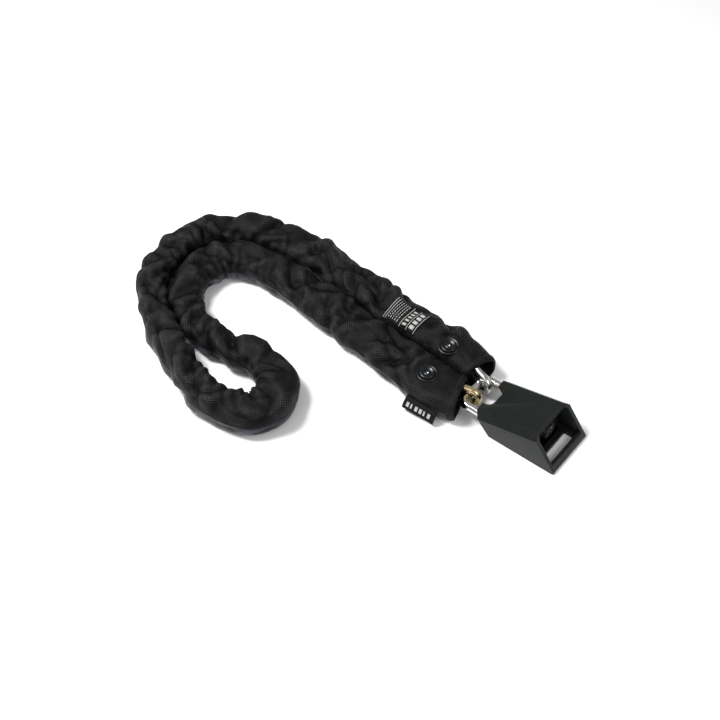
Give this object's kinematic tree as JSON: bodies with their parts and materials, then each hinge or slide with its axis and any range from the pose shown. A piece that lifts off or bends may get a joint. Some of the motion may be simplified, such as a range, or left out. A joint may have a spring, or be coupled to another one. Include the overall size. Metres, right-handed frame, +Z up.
{
  "type": "chain lock",
  "caption": "Chain lock: square-bar chain in a woven sleeve, doubled over, both ends held by a shackle padlock with a key cylinder at its open end.",
  "frame": {"origin": "on the flat underside of the padlock housing, on its centre line, 24 mm from the underside's shackle end", "axes": "+Z up, away from the surface the lock lies on; +X along the housing's centre line towards the key end; the chain runs towards -X"},
  "size_m": [0.4811, 0.2493, 0.0385],
  "materials": {
    "housing_coat": "satin black powder coat",
    "hard_steel": "ground hardened steel",
    "black_steel": "black oxide",
    "seal_rubber": "matte",
    "chromed_steel": "polished chrome plate",
    "brass_parts": "machined",
    "bright_zinc": "bright zinc plate",
    "yellow_zinc": "yellow passivated zinc plate",
    "woven_sleeve": "matte woven nylon",
    "hem_binding": "turned and stitched hem",
    "gunmetal": "dark nickel plate",
    "label_weave": "woven label tape"
  },
  "bodies": {
    "near_run": {"sleeve_near": "woven_sleeve", "sleeve_hems": "hem_binding", "snap_washers": "gunmetal", "snap_caps": "gunmetal", "snap_posts": "gunmetal", "woven_label": "label_weave", "side_tab": "label_weave", "sleeve_bend_a": "woven_sleeve", "chain_link_01": "yellow_zinc", "chain_link_02": "yellow_zinc", "chain_link_03": "yellow_zinc", "chain_link_04": "yellow_zinc", "chain_link_05": "yellow_zinc", "chain_link_27": "yellow_zinc", "chain_link_28": "yellow_zinc", "chain_link_29": "yellow_zinc", "chain_link_30": "yellow_zinc", "chain_link_31": "yellow_zinc"},
    "far_turn": {"sleeve_turn": "woven_sleeve", "sleeve_bend_b": "woven_sleeve", "chain_link_06": "yellow_zinc", "chain_link_07": "yellow_zinc", "chain_link_08": "yellow_zinc", "chain_link_09": "yellow_zinc", "chain_link_10": "yellow_zinc", "chain_link_11": "yellow_zinc", "chain_link_12": "yellow_zinc", "chain_link_13": "yellow_zinc", "chain_link_22": "yellow_zinc", "chain_link_23": "yellow_zinc", "chain_link_24": "yellow_zinc", "chain_link_25": "yellow_zinc", "chain_link_26": "yellow_zinc"},
    "loop_end": {"sleeve_loop": "woven_sleeve", "chain_link_14": "yellow_zinc", "chain_link_15": "yellow_zinc", "chain_link_16": "yellow_zinc", "chain_link_17": "yellow_zinc", "chain_link_18": "yellow_zinc", "chain_link_19": "yellow_zinc", "chain_link_20": "yellow_zinc", "chain_link_21": "yellow_zinc"},
    "end_links": {"end_link_back": "bright_zinc", "end_link_front": "yellow_zinc"},
    "shackle": {"shackle": "chromed_steel"},
    "housing": {"lock_cover": "housing_coat", "lock_body": "hard_steel", "end_plate": "hard_steel", "plate_screws": "black_steel", "shackle_seals": "seal_rubber", "cylinder_shell": "brass_parts", "driver_pins": "hard_steel", "pin_springs": "hard_steel", "cover_rivet": "hard_steel"},
    "plug": {"cylinder_plug": "brass_parts", "ball_cam": "brass_parts", "key_pins": "brass_parts"},
    "left_ball": {"ball_left": "hard_steel"},
    "right_ball": {"ball_right": "hard_steel"},
    "cover": {"dust_cover": "black_steel"}
  },
  "joints": [
    {"name": "bend_a", "type": "hinge", "parent": "near_run", "child": "far_turn", "pos_m": [-0.27753, 0.04388, 0.014], "axis": [0, 0, 1], "range_deg": [0, 10], "deforming": ["sleeve_bend_a"]},
    {"name": "bend_b", "type": "hinge", "parent": "far_turn", "child": "loop_end", "pos_m": [-0.34366, -0.13464, 0.014], "axis": [0, 0, 1], "range_deg": [-1.5, 6], "deforming": ["sleeve_bend_b"]},
    {"name": "links_swing", "type": "hinge", "parent": "near_run", "child": "end_links", "pos_m": [-0.097, 0.0047, 0.014], "axis": [0, 0, 1], "range_deg": [-2.5, 2.5]},
    {"name": "lock_lift", "type": "hinge", "parent": "end_links", "child": "shackle", "pos_m": [-0.063, 0, 0.014], "axis": [0, -1, 0], "range_deg": [0, 30]},
    {"name": "lock_pull", "type": "slide", "parent": "shackle", "child": "housing", "axis": [1, 0, 0], "range_m": [0, 0.012]},
    {"name": "plug_turn", "type": "hinge", "parent": "housing", "child": "plug", "pos_m": [0, 0, 0.017], "axis": [1, 0, 0], "range_deg": [-90, 0]},
    {"name": "left_ball_slide", "type": "slide", "parent": "housing", "child": "left_ball", "axis": [0, 1, 0], "range_m": [0, 0.0027]},
    {"name": "right_ball_slide", "type": "slide", "parent": "housing", "child": "right_ball", "axis": [0, -1, 0], "range_m": [0, 0.0027]},
    {"name": "cover_swing", "type": "hinge", "parent": "housing", "child": "cover", "pos_m": [0.024, 0, 0.0255], "axis": [1, 0, 0], "range_deg": [0, 95]}
  ],
  "couplings": [
    {"joint": "left_ball_slide", "follows": "plug_turn", "m_per_rad": -0.0017189},
    {"joint": "right_ball_slide", "follows": "plug_turn", "m_per_rad": -0.0017189}
  ]
}
